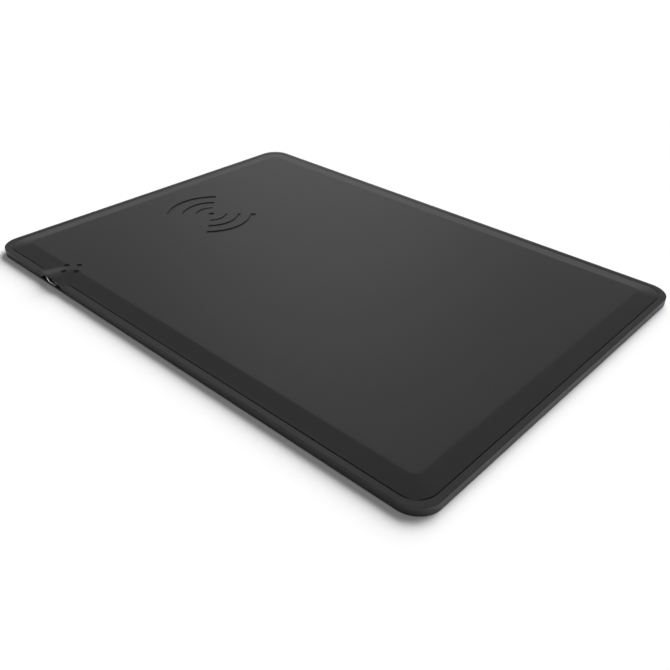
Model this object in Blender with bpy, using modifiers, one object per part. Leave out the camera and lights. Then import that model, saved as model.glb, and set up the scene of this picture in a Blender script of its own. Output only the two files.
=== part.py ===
"""A wireless charging desk pad, as the separate solids it is assembled from.

The origin is on the surface the pad stands on, under the middle of its outline. +X runs along the long side, away
from the charging end, -Y faces the edge that holds the power socket, and +Z is up.
Every size below is in millimetres, and MM turns it into Blender's metres where a mesh is made.
"""

import math

import bmesh
import bpy
from mathutils import Vector

MM = 0.001

# Outline of the pad
PAD_LENGTH = 240.0
PAD_WIDTH = 174.0
OUTER_CORNER_RADIUS = 9.4
SEAM_CORNER_RADIUS = 7.9
PLATEAU_CORNER_RADIUS = 3.3
CORNER_STEPS = 9

# Heights above the table
WALL_BOTTOM = 0.15
MAT_RECESS_TOP = 1.1
FLOOR_TOP = 1.9
STEP_TOP = 2.6
RIM_TOP = 3.6
PLATEAU_TOP = 5.0

# Distances inward from the outer wall
LEDGE_WIDTH = 2.7
SEAM_GAP = 0.25
PLATEAU_INSET = 10.6
STEP_INSET = 4.0
MAT_INSET = 7.5
MAT_GAP = 0.3
EDGE_BREAK = 0.15

# Top cover
COVER_THICKNESS = 0.9
COVER_EDGE_BOTTOM = STEP_TOP + 0.1
COVER_CEILING = PLATEAU_TOP - COVER_THICKNESS
COVER_CEILING_INSET = PLATEAU_INSET + 0.3
PLATEAU_ROUND = ((-1.6, 0.25), (-0.6, 0.0625), (0.5, 0.0))

# Anti-slip mat
MAT_THICKNESS = 1.0

# Charging coil and what is stacked with it, and the pictogram over it
COIL_X = -74.4
COIL_Y = 0.0
COIL_INNER_RADIUS = 10.4
COIL_OUTER_RADIUS = 22.0
COIL_TURNS = 10
COIL_POINTS_PER_TURN = 22
COIL_WIRE_RADIUS = 0.4
COIL_Z = 3.3
CUSHION_RADIUS = 25.0
CUSHION_Z = (2.0, 2.3)
FERRITE_RADIUS = 25.5
FERRITE_Z = (2.4, 2.8)
ADHESIVE_RADIUS = 24.0
ADHESIVE_Z = (3.8, 3.95)
LEAD_RADIUS = 0.22
LEAD_SLOT_WIDTH = 1.4
LEAD_SLOT_END = 2.0
LEAD_GAP = 0.1
COIL_RING_RADII = (27.0, 28.2)
COIL_RING_GAP = 14.0
SENSOR_RADIUS = 0.9
SENSOR_Z = (2.95, 3.65)

PICTOGRAM_DEPTH = 0.4
PICTOGRAM_DOT_RADIUS = 1.3
PICTOGRAM_BANDS = ((6.8, 7.6), (12.8, 14.1), (19.1, 21.4))
PICTOGRAM_HALF_ANGLE = 46.0
PICTOGRAM_STEPS = 12

# Hood in the top cover over the socket, and the arched recess under it
SOCKET_X = -74.4
HOOD_HALF_WIDTH = 9.9
HOOD_CREST_HALF_WIDTH = 1.0
HOOD_STEPS = 18
HOOD_GAP = 0.15
HOOD_INNER_END_INSET = 12.0
HOOD_ROOF_BOTTOM = 3.3
HOOD_ROOF_START_INSET = 1.0
LEG_GAP = 0.1
HOOD_SIDE_THICKNESS = 1.2
HOOD_ROOF_THICKNESS = 0.5
RECESS_FLOOR = 1.05
RECESS_DEPTH = 2.85
MOUTH_HALF_WIDTH = 9.0
MOUTH_TOP = 4.3
MOUTH_DEPTH = 1.2
MOUTH_BASE_DROP = 0.5
MOUTH_STEPS = 16
CURTAIN_THICKNESS = 1.0

# Micro-USB socket: the opening in its shell, and the parts in it
SOCKET_TOP_HALF_WIDTH = 3.45
SOCKET_BOTTOM_HALF_WIDTH = 2.6
SOCKET_HEIGHT = 1.85
SOCKET_SIDE_HEIGHT = 1.05
SOCKET_BOTTOM = 1.475
SHELL_THICKNESS = 0.27
SHELL_DEPTH = 5.0
SHELL_SETBACK = 0.1
SHELL_CLEARANCE = 0.15
TONGUE_HALF_WIDTH = 1.9
TONGUE_THICKNESS = 0.6
TONGUE_TOP_GAP = 0.25
TONGUE_SETBACK = 0.9
TONGUE_ROOT = 1.2
TONGUE_GAP = 0.1
CONTACT_COUNT = 5
CONTACT_PITCH = 0.65
CONTACT_SIZE = (0.3, 2.4, 0.1)
CONTACT_GAP = 0.05
CONTACT_SETBACK = 0.2

# Main board
BOARD_Z = (2.2, 3.0)
BOARD_HALF_LENGTH = 20.0
BOARD_FRONT_Y = -80.3
BOARD_BACK_Y = -55.0
BOARD_TAB_HALF_WIDTH = 6.4
BOARD_TAB_Y = -82.8
BOARD_NOTCH_HALF_WIDTH = 3.95
BOARD_NOTCH_Y = -81.75
SOLDER_GAP = 0.05
CHIP_SIZE = (5.0, 5.0, 0.75)
TRANSISTOR_SIZE = (3.0, 3.0, 0.75)
RESONANCE_CAPACITOR_SIZE = (3.2, 1.6, 0.8)
INPUT_CAPACITOR_SIZE = (2.0, 1.25, 0.8)
INDUCTOR_SIZE = (4.0, 4.0, 0.85)
LAMP_SIZE = (1.6, 0.8, 0.4)

# Indicator windows, in a diamond behind the hood's crest
WINDOW_X = -74.1
WINDOW_Y = -77.0
WINDOW_OFFSETS = ((-3.8, 0.0), (0.0, 3.8), (3.8, 0.0), (0.0, -3.8))
WINDOW_HOLE_RADIUS = 0.95
PIP_RADIUS = 0.8
PIP_TOP = PLATEAU_TOP - 0.1
GUIDE_RADIUS = 4.8
GUIDE_Z = (3.6, 3.95)

# Screws
COVER_SCREW_PLACES = [(x, y) for x in (-103.0, 0.0, 103.0) for y in (-69.0, 69.0)]
COVER_SCREW_HEAD_RADIUS = 1.9
COVER_SCREW_HEAD_Z = (1.2, 1.7)
COVER_SCREW_SHANK_RADIUS = 0.8
COVER_SCREW_TIP = 3.7
COUNTERBORE_TOP = COVER_SCREW_HEAD_Z[1] + 0.1
PILOT_HOLE_TOP = COVER_SCREW_TIP + 0.15
DRIVE_RADIUS = 0.7
DRIVE_DEPTH = 0.3
FLOOR_BOSS_RADIUS = 3.6
COVER_BOSS_RADIUS = 2.6
BOARD_SCREW_PLACES = [(SOCKET_X - 17.0, -58.0), (SOCKET_X + 17.0, -58.0)]
BOARD_SCREW_HEAD_RADIUS = 1.4
BOARD_SCREW_HEAD_HEIGHT = 0.55
BOARD_DRIVE_RADIUS = 0.5
BOARD_DRIVE_DEPTH = 0.25
BOARD_SCREW_SHANK_RADIUS = 0.6
BOARD_SCREW_TIP = 1.4
STANDOFF_RADIUS = 2.0
STANDOFF_TOP = BOARD_Z[0] - 0.1
BOARD_SCREW_HOLE_BOTTOM = 1.3

# Ribs that hold the top cover up, on the bottom cover's floor
RIB_WIDTH = 1.2
RIB_TOP = COVER_CEILING - 0.2
RIB_X = (-30.0, 10.0, 50.0, 90.0)
RIB_Y = (-35.0, 0.0, 35.0)
RIB_REACH_Y = 60.0
LONG_RIB_DROP = 0.1

ROUND_STEPS = 20

# How far a joined solid reaches into its cover and a cutter past the face it cuts, and the usual clearances
BITE = 0.3
OVERCUT = 0.5
CLEARANCE = 0.15
LOOSE_CLEARANCE = 0.3


def clear_scene():
    for thing in list(bpy.data.objects):
        bpy.data.objects.remove(thing, do_unlink=True)


def new_collection(name):
    collection = bpy.data.collections.new(name)
    bpy.context.scene.collection.children.link(collection)
    return collection


def finish(name, colour, roughness, metallic=0.0):
    """A plain Principled material."""
    material = bpy.data.materials.new(name)
    material.use_nodes = True
    shader = material.node_tree.nodes["Principled BSDF"]
    shader.inputs["Base Color"].default_value = (*colour, 1.0)
    shader.inputs["Roughness"].default_value = roughness
    shader.inputs["Metallic"].default_value = metallic
    return material


def add_object(name, mesh, place=(0.0, 0.0, 0.0), material=None):
    """Puts a finished bmesh into the scene: a part if it has a material, or else a hidden tool."""
    data = bpy.data.meshes.new(name)
    mesh.to_mesh(data)
    mesh.free()
    thing = bpy.data.objects.new(name, data)
    thing.location = Vector(place) * MM
    if material:
        data.materials.append(material)
        PARTS.objects.link(thing)
    else:
        thing.hide_render = True
        thing.display_type = "WIRE"
        TOOLS.objects.link(thing)
    return thing


def loft(name, rings, material=None, place=(0.0, 0.0, 0.0)):
    """A closed skin through rings of equally many points, with the first and last ring filled."""
    mesh = bmesh.new()
    loops = [[mesh.verts.new(point * MM) for point in ring] for ring in rings]
    for near, far in zip(loops, loops[1:]):
        for i in range(len(near)):
            j = (i + 1) % len(near)
            mesh.faces.new((near[i], near[j], far[j], far[i]))
    mesh.faces.new(loops[0])
    mesh.faces.new(loops[-1])
    bmesh.ops.recalc_face_normals(mesh, faces=mesh.faces)
    return add_object(name, mesh, place, material)


def block(name, size, centre, material=None):
    mesh = bmesh.new()
    bmesh.ops.create_cube(mesh, size=1.0)
    bmesh.ops.scale(mesh, vec=Vector(size) * MM, verts=mesh.verts)
    return add_object(name, mesh, centre, material)


def block_between(name, low, high, material=None):
    size = [b - a for a, b in zip(low, high)]
    centre = [(a + b) / 2 for a, b in zip(low, high)]
    return block(name, size, centre, material)


def disc(name, radius, heights, place, material=None, steps=ROUND_STEPS):
    """An upright cylinder between two heights, centred on the point place = (x, y)."""
    mesh = bmesh.new()
    depth = (heights[1] - heights[0]) * MM
    bmesh.ops.create_cone(
        mesh, cap_ends=True, segments=steps, radius1=radius * MM, radius2=radius * MM, depth=depth
    )
    return add_object(name, mesh, (*place, (heights[0] + heights[1]) / 2), material)


def turned(name, profile, place, material):
    """A solid turned about the vertical line through place, from a profile of (radius, z), top to bottom."""
    mesh = bmesh.new()
    points = [mesh.verts.new((radius * MM, 0.0, z * MM)) for radius, z in profile]
    for upper, lower in zip(points, points[1:]):
        mesh.edges.new((upper, lower))
    thing = add_object(name, mesh, (*place, 0.0), material)
    screw = thing.modifiers.new("turn", "SCREW")
    screw.steps = 16
    screw.render_steps = 16
    screw.use_merge_vertices = True
    screw.merge_threshold = 0.00001
    return thing


def tube(name, points, radius, material, place=(0.0, 0.0, 0.0)):
    """A round wire along points."""
    curve = bpy.data.curves.new(name, "CURVE")
    curve.dimensions = "3D"
    curve.bevel_depth = radius * MM
    curve.bevel_resolution = 2
    curve.use_fill_caps = True
    spline = curve.splines.new("POLY")
    spline.points.add(len(points) - 1)
    for spot, point in zip(spline.points, points):
        spot.co = (*(Vector(point) * MM), 1.0)
    curve.materials.append(material)
    thing = bpy.data.objects.new(name, curve)
    thing.location = Vector(place) * MM
    PARTS.objects.link(thing)
    return thing


def smooth_route(stops, steps=6):
    """Points on a Catmull-Rom curve through stops."""
    stops = [Vector(stop) for stop in stops]
    padded = [2 * stops[0] - stops[1], *stops, 2 * stops[-1] - stops[-2]]
    route = []
    for before, start, end, after in zip(padded, padded[1:], padded[2:], padded[3:]):
        for step in range(steps):
            t = step / steps
            route.append(
                0.5
                * (
                    2 * start
                    + (end - before) * t
                    + (2 * before - 5 * start + 4 * end - after) * t**2
                    + (3 * start - before - 3 * end + after) * t**3
                )
            )
    return [*route, stops[-1]]


def boolean(target, tool, operation):
    modifier = target.modifiers.new(f"{operation.lower()} {tool.name}", "BOOLEAN")
    modifier.operation = operation
    modifier.object = tool


def add(target, tool):
    boolean(target, tool, "UNION")


def cut(target, tool):
    boolean(target, tool, "DIFFERENCE")


def corner_radius(inset):
    """The corners tighten a little across the ledge, and then from the seam inward to the plateau's."""
    if inset <= LEDGE_WIDTH:
        share = inset / LEDGE_WIDTH
        return OUTER_CORNER_RADIUS + share * (SEAM_CORNER_RADIUS - OUTER_CORNER_RADIUS)
    share = (inset - LEDGE_WIDTH) / (PLATEAU_INSET - LEDGE_WIDTH)
    return SEAM_CORNER_RADIUS + share * (PLATEAU_CORNER_RADIUS - SEAM_CORNER_RADIUS)


def outline(inset, z):
    """A ring of points at height z: the pad's rounded rectangle, moved inward by inset."""
    radius = corner_radius(inset)
    ring = []
    for quarter, (side_x, side_y) in enumerate(((1, 1), (-1, 1), (-1, -1), (1, -1))):
        centre_x = side_x * (PAD_LENGTH / 2 - inset - radius)
        centre_y = side_y * (PAD_WIDTH / 2 - inset - radius)
        for step in range(CORNER_STEPS + 1):
            angle = math.radians(90.0 * (quarter + step / CORNER_STEPS))
            ring.append(Vector((centre_x + radius * math.cos(angle), centre_y + radius * math.sin(angle), z)))
    return ring


def front(inset):
    """The y of a line parallel to the socket's edge, inset inward from it."""
    return inset - PAD_WIDTH / 2


def hood_rise(offset):
    """Height of the hood above the rim, at a distance along X from the socket's middle."""
    run = (abs(offset) - HOOD_CREST_HALF_WIDTH) / (HOOD_HALF_WIDTH - HOOD_CREST_HALF_WIDTH)
    run = min(max(run, 0.0), 1.0)
    return (PLATEAU_TOP - RIM_TOP) * 0.5 * (1.0 + math.cos(math.pi * run))


def hood_section(half_width, drop, bottom, y, ceiling=PLATEAU_TOP):
    """The hood's section across X at y: a flat bottom, upright sides and the hood's curve, lowered by drop.

    The curve is cut off flat at ceiling.
    """
    curve = []
    for step in range(HOOD_STEPS + 1):
        offset = half_width * (2.0 * step / HOOD_STEPS - 1.0)
        curve.append(Vector((SOCKET_X + offset, y, min(RIM_TOP + hood_rise(offset) - drop, ceiling))))
    left = Vector((SOCKET_X - half_width, y, bottom))
    right = Vector((SOCKET_X + half_width, y, bottom))
    return [left, *curve, right]


def mouth_section(y):
    """The arched recess under the hood, as a circle's segment that stands a little below the recess floor."""
    base = RECESS_FLOOR - MOUTH_BASE_DROP
    rise = MOUTH_TOP - base
    radius = (MOUTH_HALF_WIDTH**2 + rise**2) / (2.0 * rise)
    half_angle = math.asin(MOUTH_HALF_WIDTH / radius)
    section = []
    for step in range(MOUTH_STEPS + 1):
        angle = half_angle * (2.0 * step / MOUTH_STEPS - 1.0)
        x = SOCKET_X + radius * math.sin(angle)
        section.append(Vector((x, y, MOUTH_TOP - radius * (1.0 - math.cos(angle)))))
    return section


def socket_section(grow, y):
    """The socket's six-cornered section at y, with every side moved outward by grow."""
    top = SOCKET_BOTTOM + SOCKET_HEIGHT
    shoulder = top - SOCKET_SIDE_HEIGHT
    slant = math.atan2(shoulder - SOCKET_BOTTOM, SOCKET_TOP_HALF_WIDTH - SOCKET_BOTTOM_HALF_WIDTH)
    shoulder_drop = grow * math.tan((math.pi / 2 - slant) / 2)
    foot_widening = grow * math.tan(slant / 2)
    corners = (
        (SOCKET_TOP_HALF_WIDTH + grow, top + grow),
        (SOCKET_TOP_HALF_WIDTH + grow, shoulder - shoulder_drop),
        (SOCKET_BOTTOM_HALF_WIDTH + foot_widening, SOCKET_BOTTOM - grow),
    )
    right = [Vector((SOCKET_X + x, y, z)) for x, z in corners]
    left = [Vector((SOCKET_X - x, y, z)) for x, z in reversed(corners)]
    return right + left


def make_bottom_cover(material):
    """The tray: floor, perimeter wall with its flat ledge, and the step that the top cover stands on."""
    seam = LEDGE_WIDTH
    cover = loft(
        "bottom_cover",
        [
            outline(MAT_INSET - MAT_GAP, MAT_RECESS_TOP),
            outline(MAT_INSET - MAT_GAP, WALL_BOTTOM),
            outline(EDGE_BREAK, WALL_BOTTOM),
            outline(0.0, WALL_BOTTOM + EDGE_BREAK),
            outline(0.0, RIM_TOP - EDGE_BREAK),
            outline(EDGE_BREAK, RIM_TOP),
            outline(seam, RIM_TOP),
            outline(seam, STEP_TOP),
            outline(STEP_INSET, STEP_TOP),
            outline(STEP_INSET, FLOOR_TOP),
        ],
        material,
    )
    for place in COVER_SCREW_PLACES:
        add(cover, disc("screw_pad", FLOOR_BOSS_RADIUS, (FLOOR_TOP - BITE, STEP_TOP), place))
    for place in BOARD_SCREW_PLACES:
        add(cover, disc("standoff", STANDOFF_RADIUS, (FLOOR_TOP - BITE, STANDOFF_TOP), place))
    add_ribs(cover)
    add_coil_ring(cover)
    notch_low = (SOCKET_X - HOOD_HALF_WIDTH, front(-OVERCUT), RECESS_FLOOR)
    notch_high = (SOCKET_X + HOOD_HALF_WIDTH, front(RECESS_DEPTH), RIM_TOP + OVERCUT)
    cut(cover, block_between("hood_notch", notch_low, notch_high))
    pocket_back = front(SHELL_SETBACK + SHELL_DEPTH + SHELL_CLEARANCE)
    cut(cover, socket_clearance("socket_pocket", front(RECESS_DEPTH - OVERCUT), pocket_back))
    bore_heights = (WALL_BOTTOM, COUNTERBORE_TOP)
    hole_heights = (COUNTERBORE_TOP - BITE, STEP_TOP + OVERCUT)
    board_hole_heights = (BOARD_SCREW_HOLE_BOTTOM, STANDOFF_TOP + OVERCUT)
    for place in COVER_SCREW_PLACES:
        cut(cover, disc("counterbore", COVER_SCREW_HEAD_RADIUS + LOOSE_CLEARANCE, bore_heights, place))
        cut(cover, disc("screw_hole", COVER_SCREW_SHANK_RADIUS + LOOSE_CLEARANCE, hole_heights, place))
    for place in BOARD_SCREW_PLACES:
        cut(cover, disc("board_screw_hole", BOARD_SCREW_SHANK_RADIUS + CLEARANCE, board_hole_heights, place))


def add_ribs(cover):
    low_z = FLOOR_TOP - BITE
    for x in RIB_X:
        low = (x - RIB_WIDTH / 2, -RIB_REACH_Y, low_z)
        high = (x + RIB_WIDTH / 2, RIB_REACH_Y, RIB_TOP)
        add(cover, block_between("cross_rib", low, high))
    for y in RIB_Y:
        low = (RIB_X[0], y - RIB_WIDTH / 2, low_z)
        high = (RIB_X[-1], y + RIB_WIDTH / 2, RIB_TOP - LONG_RIB_DROP)
        add(cover, block_between("long_rib", low, high))


def add_coil_ring(cover):
    """The low wall that centres the coil, open towards the socket where the leads leave."""
    inner, outer = COIL_RING_RADII
    half_gap = math.asin(COIL_RING_GAP / 2 / outer)
    start = -math.pi / 2 + half_gap
    sweep = 2.0 * (math.pi - half_gap)
    steps = 40
    angles = [start + sweep * step / steps for step in range(steps + 1)]
    rings = []
    for angle in angles:
        toward = Vector((math.cos(angle), math.sin(angle), 0.0))
        low = Vector((0.0, 0.0, FLOOR_TOP - BITE))
        high = Vector((0.0, 0.0, RIB_TOP))
        rings.append([toward * inner + low, toward * outer + low, toward * outer + high, toward * inner + high])
    add(cover, loft("coil_ring", rings, place=(COIL_X, COIL_Y, 0.0)))


def socket_clearance(name, front_y, back_y):
    """The room that the socket's shell needs where it passes through a cover."""
    grow = SHELL_THICKNESS + SHELL_CLEARANCE
    return loft(name, [socket_section(grow, front_y), socket_section(grow, back_y)])


def make_top_cover(material):
    """The raised plate with its sloping border, the hood over the socket and the pressed-in pictogram."""
    edge = LEDGE_WIDTH + SEAM_GAP
    cover = loft(
        "top_cover",
        [
            outline(COVER_CEILING_INSET, COVER_CEILING),
            outline(STEP_INSET + SEAM_GAP, COVER_EDGE_BOTTOM),
            outline(edge, COVER_EDGE_BOTTOM),
            outline(edge, RIM_TOP),
            *[outline(PLATEAU_INSET + past, PLATEAU_TOP - drop) for past, drop in PLATEAU_ROUND],
        ],
        material,
    )
    add_hood(cover)
    pilot_heights = (COVER_EDGE_BOTTOM - OVERCUT, PILOT_HOLE_TOP)
    window_heights = (COVER_CEILING - OVERCUT, PLATEAU_TOP + OVERCUT)
    for place in COVER_SCREW_PLACES:
        add(cover, disc("cover_boss", COVER_BOSS_RADIUS, (COVER_EDGE_BOTTOM, COVER_CEILING + BITE), place))
        cut(cover, disc("pilot_hole", COVER_SCREW_SHANK_RADIUS + CLEARANCE, pilot_heights, place))
    for offset_x, offset_y in WINDOW_OFFSETS:
        place = (WINDOW_X + offset_x, WINDOW_Y + offset_y)
        cut(cover, disc("window_hole", WINDOW_HOLE_RADIUS, window_heights, place))
    cut_pictogram(cover)


def add_hood(cover):
    """Carries the plateau's height out over the ledge to the outer wall, then hollows it."""
    half_width = HOOD_HALF_WIDTH - HOOD_GAP
    leg_bottom = RECESS_FLOOR + LEG_GAP
    leg_back = front(RECESS_DEPTH - HOOD_GAP)
    inner_end = front(HOOD_INNER_END_INSET)
    curtain_back = front(RECESS_DEPTH + CURTAIN_THICKNESS)
    legs = [hood_section(half_width, 0.0, leg_bottom, y) for y in (front(0.0), leg_back)]
    add(cover, loft("hood_legs", legs))
    roof = [hood_section(half_width, 0.0, HOOD_ROOF_BOTTOM, y) for y in (front(HOOD_ROOF_START_INSET), inner_end)]
    add(cover, loft("hood_roof", roof))
    cut(cover, loft("hood_mouth", [mouth_section(y) for y in (front(-OVERCUT), front(MOUTH_DEPTH))]))
    cavity_half_width = half_width - HOOD_SIDE_THICKNESS
    cavity_bottom = COVER_EDGE_BOTTOM - 2.0 * OVERCUT
    cavity_ends = (curtain_back, inner_end + OVERCUT)
    cavity = [
        hood_section(cavity_half_width, HOOD_ROOF_THICKNESS, cavity_bottom, y, COVER_CEILING) for y in cavity_ends
    ]
    cut(cover, loft("hood_cavity", cavity))
    cut(cover, socket_clearance("socket_gate", front(MOUTH_DEPTH - OVERCUT), curtain_back + OVERCUT))


def cut_pictogram(cover):
    """A dot with three arcs on either side, thicker outward: the usual sign for a radio wave."""
    heights = (PLATEAU_TOP - PICTOGRAM_DEPTH, PLATEAU_TOP + OVERCUT)
    cut(cover, disc("pictogram_dot", PICTOGRAM_DOT_RADIUS, heights, (COIL_X, COIL_Y)))
    for side in (0.0, math.pi):
        for inner, outer in PICTOGRAM_BANDS:
            rings = []
            for step in range(PICTOGRAM_STEPS + 1):
                angle = side + math.radians(PICTOGRAM_HALF_ANGLE) * (2.0 * step / PICTOGRAM_STEPS - 1.0)
                toward = Vector((math.cos(angle), math.sin(angle), 0.0))
                low = Vector((0.0, 0.0, heights[0]))
                high = Vector((0.0, 0.0, heights[1]))
                corners = (toward * inner + low, toward * outer + low, toward * outer + high)
                rings.append([*corners, toward * inner + high])
            cut(cover, loft("pictogram_arc", rings, place=(COIL_X, COIL_Y, 0.0)))


def make_mat(material):
    """The rubber sheet that the pad stands on."""
    rings = [outline(MAT_INSET + EDGE_BREAK, 0.0), outline(MAT_INSET, EDGE_BREAK), outline(MAT_INSET, MAT_THICKNESS)]
    loft("anti_slip_mat", rings, material)


def make_coil_stack(copper, ferrite, foam, film, ceramic):
    """The coil lies on its ferrite, a foam cushion lifts both, and a film sticks the coil under the cover."""
    place = (COIL_X, COIL_Y)
    disc("coil_cushion_pad", CUSHION_RADIUS, CUSHION_Z, place, foam, steps=48)
    shield = disc("ferrite_shield", FERRITE_RADIUS, FERRITE_Z, place, ferrite, steps=48)
    slot_low = (COIL_X - LEAD_SLOT_WIDTH / 2, COIL_Y - FERRITE_RADIUS - OVERCUT, FERRITE_Z[0] - OVERCUT)
    slot_high = (COIL_X + LEAD_SLOT_WIDTH / 2, COIL_Y - COIL_INNER_RADIUS + LEAD_SLOT_END, FERRITE_Z[1] + OVERCUT)
    cut(shield, block_between("lead_slot", slot_low, slot_high))
    disc("coil_adhesive_film", ADHESIVE_RADIUS, ADHESIVE_Z, place, film, steps=48)
    disc("temperature_sensor", SENSOR_RADIUS, SENSOR_Z, place, ceramic, steps=16)

    points = []
    count = COIL_TURNS * COIL_POINTS_PER_TURN
    for step in range(count + 1):
        angle = -math.pi / 2 + 2.0 * math.pi * step / COIL_POINTS_PER_TURN
        radius = COIL_INNER_RADIUS + (COIL_OUTER_RADIUS - COIL_INNER_RADIUS) * step / count
        points.append((radius * math.cos(angle), radius * math.sin(angle), 0.0))
    tube("transmitter_coil", points, COIL_WIRE_RADIUS, copper, (COIL_X, COIL_Y, COIL_Z))

    pad_z = BOARD_Z[1] + LEAD_RADIUS + LEAD_GAP
    slot_z = (FERRITE_Z[0] + FERRITE_Z[1]) / 2
    inner_route = [
        (COIL_X, COIL_Y - COIL_INNER_RADIUS + 1.2, slot_z),
        (COIL_X, COIL_Y - FERRITE_RADIUS + 2.0, slot_z),
        (COIL_X - 1.5, -36.0, slot_z),
        (COIL_X - 4.0, -50.0, pad_z),
        (COIL_X - 4.5, BOARD_BACK_Y - 2.5, pad_z),
    ]
    outer_route = [
        (COIL_X + 1.2, COIL_Y - COIL_OUTER_RADIUS - 0.2, COIL_Z),
        (COIL_X + 3.0, -30.0, COIL_Z - 0.2),
        (COIL_X + 4.5, -42.0, COIL_Z - 0.2),
        (COIL_X + 4.5, -50.0, pad_z),
        (COIL_X + 4.5, BOARD_BACK_Y - 2.5, pad_z),
    ]
    tube("coil_lead_inner", smooth_route(inner_route), LEAD_RADIUS, copper)
    tube("coil_lead_outer", smooth_route(outer_route), LEAD_RADIUS, copper)


def make_socket(steel, plastic, gold):
    """A drawn steel shell round a plastic tongue that carries five contacts on its underside."""
    mouth = front(SHELL_SETBACK)
    back = mouth + SHELL_DEPTH
    loft(
        "usb_socket_shell",
        [
            socket_section(0.0, back - SHELL_THICKNESS),
            socket_section(0.0, mouth),
            socket_section(SHELL_THICKNESS, mouth),
            socket_section(SHELL_THICKNESS, back),
        ],
        steel,
    )
    root_back = back - SHELL_THICKNESS - TONGUE_GAP
    root = loft(
        "usb_socket_tongue",
        [socket_section(-TONGUE_GAP, y) for y in (root_back - TONGUE_ROOT, root_back)],
        plastic,
    )
    tongue_top = SOCKET_BOTTOM + SOCKET_HEIGHT - TONGUE_TOP_GAP
    low = (SOCKET_X - TONGUE_HALF_WIDTH, mouth + TONGUE_SETBACK, tongue_top - TONGUE_THICKNESS)
    high = (SOCKET_X + TONGUE_HALF_WIDTH, root_back - TONGUE_ROOT / 2, tongue_top)
    add(root, block_between("tongue_blade", low, high))
    contact_front = mouth + TONGUE_SETBACK + CONTACT_SETBACK
    contact_z = tongue_top - TONGUE_THICKNESS - CONTACT_GAP - CONTACT_SIZE[2] / 2
    for index in range(CONTACT_COUNT):
        x = SOCKET_X + CONTACT_PITCH * (index - (CONTACT_COUNT - 1) / 2)
        centre = (x, contact_front + CONTACT_SIZE[1] / 2, contact_z)
        block(f"usb_contact_{index + 1}", CONTACT_SIZE, centre, gold)


def make_board(material):
    """The circuit board, with a tab whose notch holds the socket's shell."""
    middle_z = (BOARD_Z[0] + BOARD_Z[1]) / 2
    thickness = BOARD_Z[1] - BOARD_Z[0]
    half_outline = (
        (BOARD_NOTCH_HALF_WIDTH, BOARD_NOTCH_Y),
        (BOARD_NOTCH_HALF_WIDTH, BOARD_TAB_Y),
        (BOARD_TAB_HALF_WIDTH, BOARD_TAB_Y),
        (BOARD_TAB_HALF_WIDTH, BOARD_FRONT_Y),
        (BOARD_HALF_LENGTH, BOARD_FRONT_Y),
        (BOARD_HALF_LENGTH, BOARD_BACK_Y),
    )
    corners = [(SOCKET_X + x, y) for x, y in half_outline]
    corners += [(SOCKET_X - x, y) for x, y in reversed(half_outline)]
    rings = [[Vector((x, y, z)) for x, y in corners] for z in BOARD_Z]
    board = loft("main_board", rings, material)
    for place in BOARD_SCREW_PLACES:
        heights = (middle_z - thickness, middle_z + thickness)
        cut(board, disc("board_hole", BOARD_SCREW_SHANK_RADIUS + LOOSE_CLEARANCE, heights, place))


def on_board(name, size, place, material):
    """A component soldered to the top of the board, centred on the point place = (x, y)."""
    z = BOARD_Z[1] + SOLDER_GAP + size[2] / 2
    return block(name, size, (*place, z), material)


def make_components(chip, ceramic, core, lamp):
    on_board("controller_chip", CHIP_SIZE, (SOCKET_X - 10.5, -66.0), chip)
    for index, x in enumerate((SOCKET_X + 7.5, SOCKET_X + 12.5)):
        on_board(f"bridge_transistor_{index + 1}", TRANSISTOR_SIZE, (x, -64.0), chip)
    for index in range(4):
        place = (SOCKET_X - 7.5 + 4.4 * index, -59.5)
        on_board(f"resonance_capacitor_{index + 1}", RESONANCE_CAPACITOR_SIZE, place, ceramic)
    for index, x in enumerate((SOCKET_X + 7.5, SOCKET_X + 12.5)):
        on_board(f"input_capacitor_{index + 1}", INPUT_CAPACITOR_SIZE, (x, -72.5), ceramic)
    on_board("filter_inductor", INDUCTOR_SIZE, (SOCKET_X + 16.5, -68.5), core)
    for index, (offset_x, offset_y) in enumerate(WINDOW_OFFSETS):
        place = (WINDOW_X + offset_x, WINDOW_Y + offset_y)
        on_board(f"indicator_lamp_{index + 1}", LAMP_SIZE, place, lamp)


def make_light_guide(material):
    """A clear disc under the cover with a pip standing in each window."""
    guide = disc("light_guide", GUIDE_RADIUS, GUIDE_Z, (WINDOW_X, WINDOW_Y), material, steps=32)
    for offset_x, offset_y in WINDOW_OFFSETS:
        place = (WINDOW_X + offset_x, WINDOW_Y + offset_y)
        add(guide, disc("pip", PIP_RADIUS, (GUIDE_Z[0] + 0.1, PIP_TOP), place))


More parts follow.
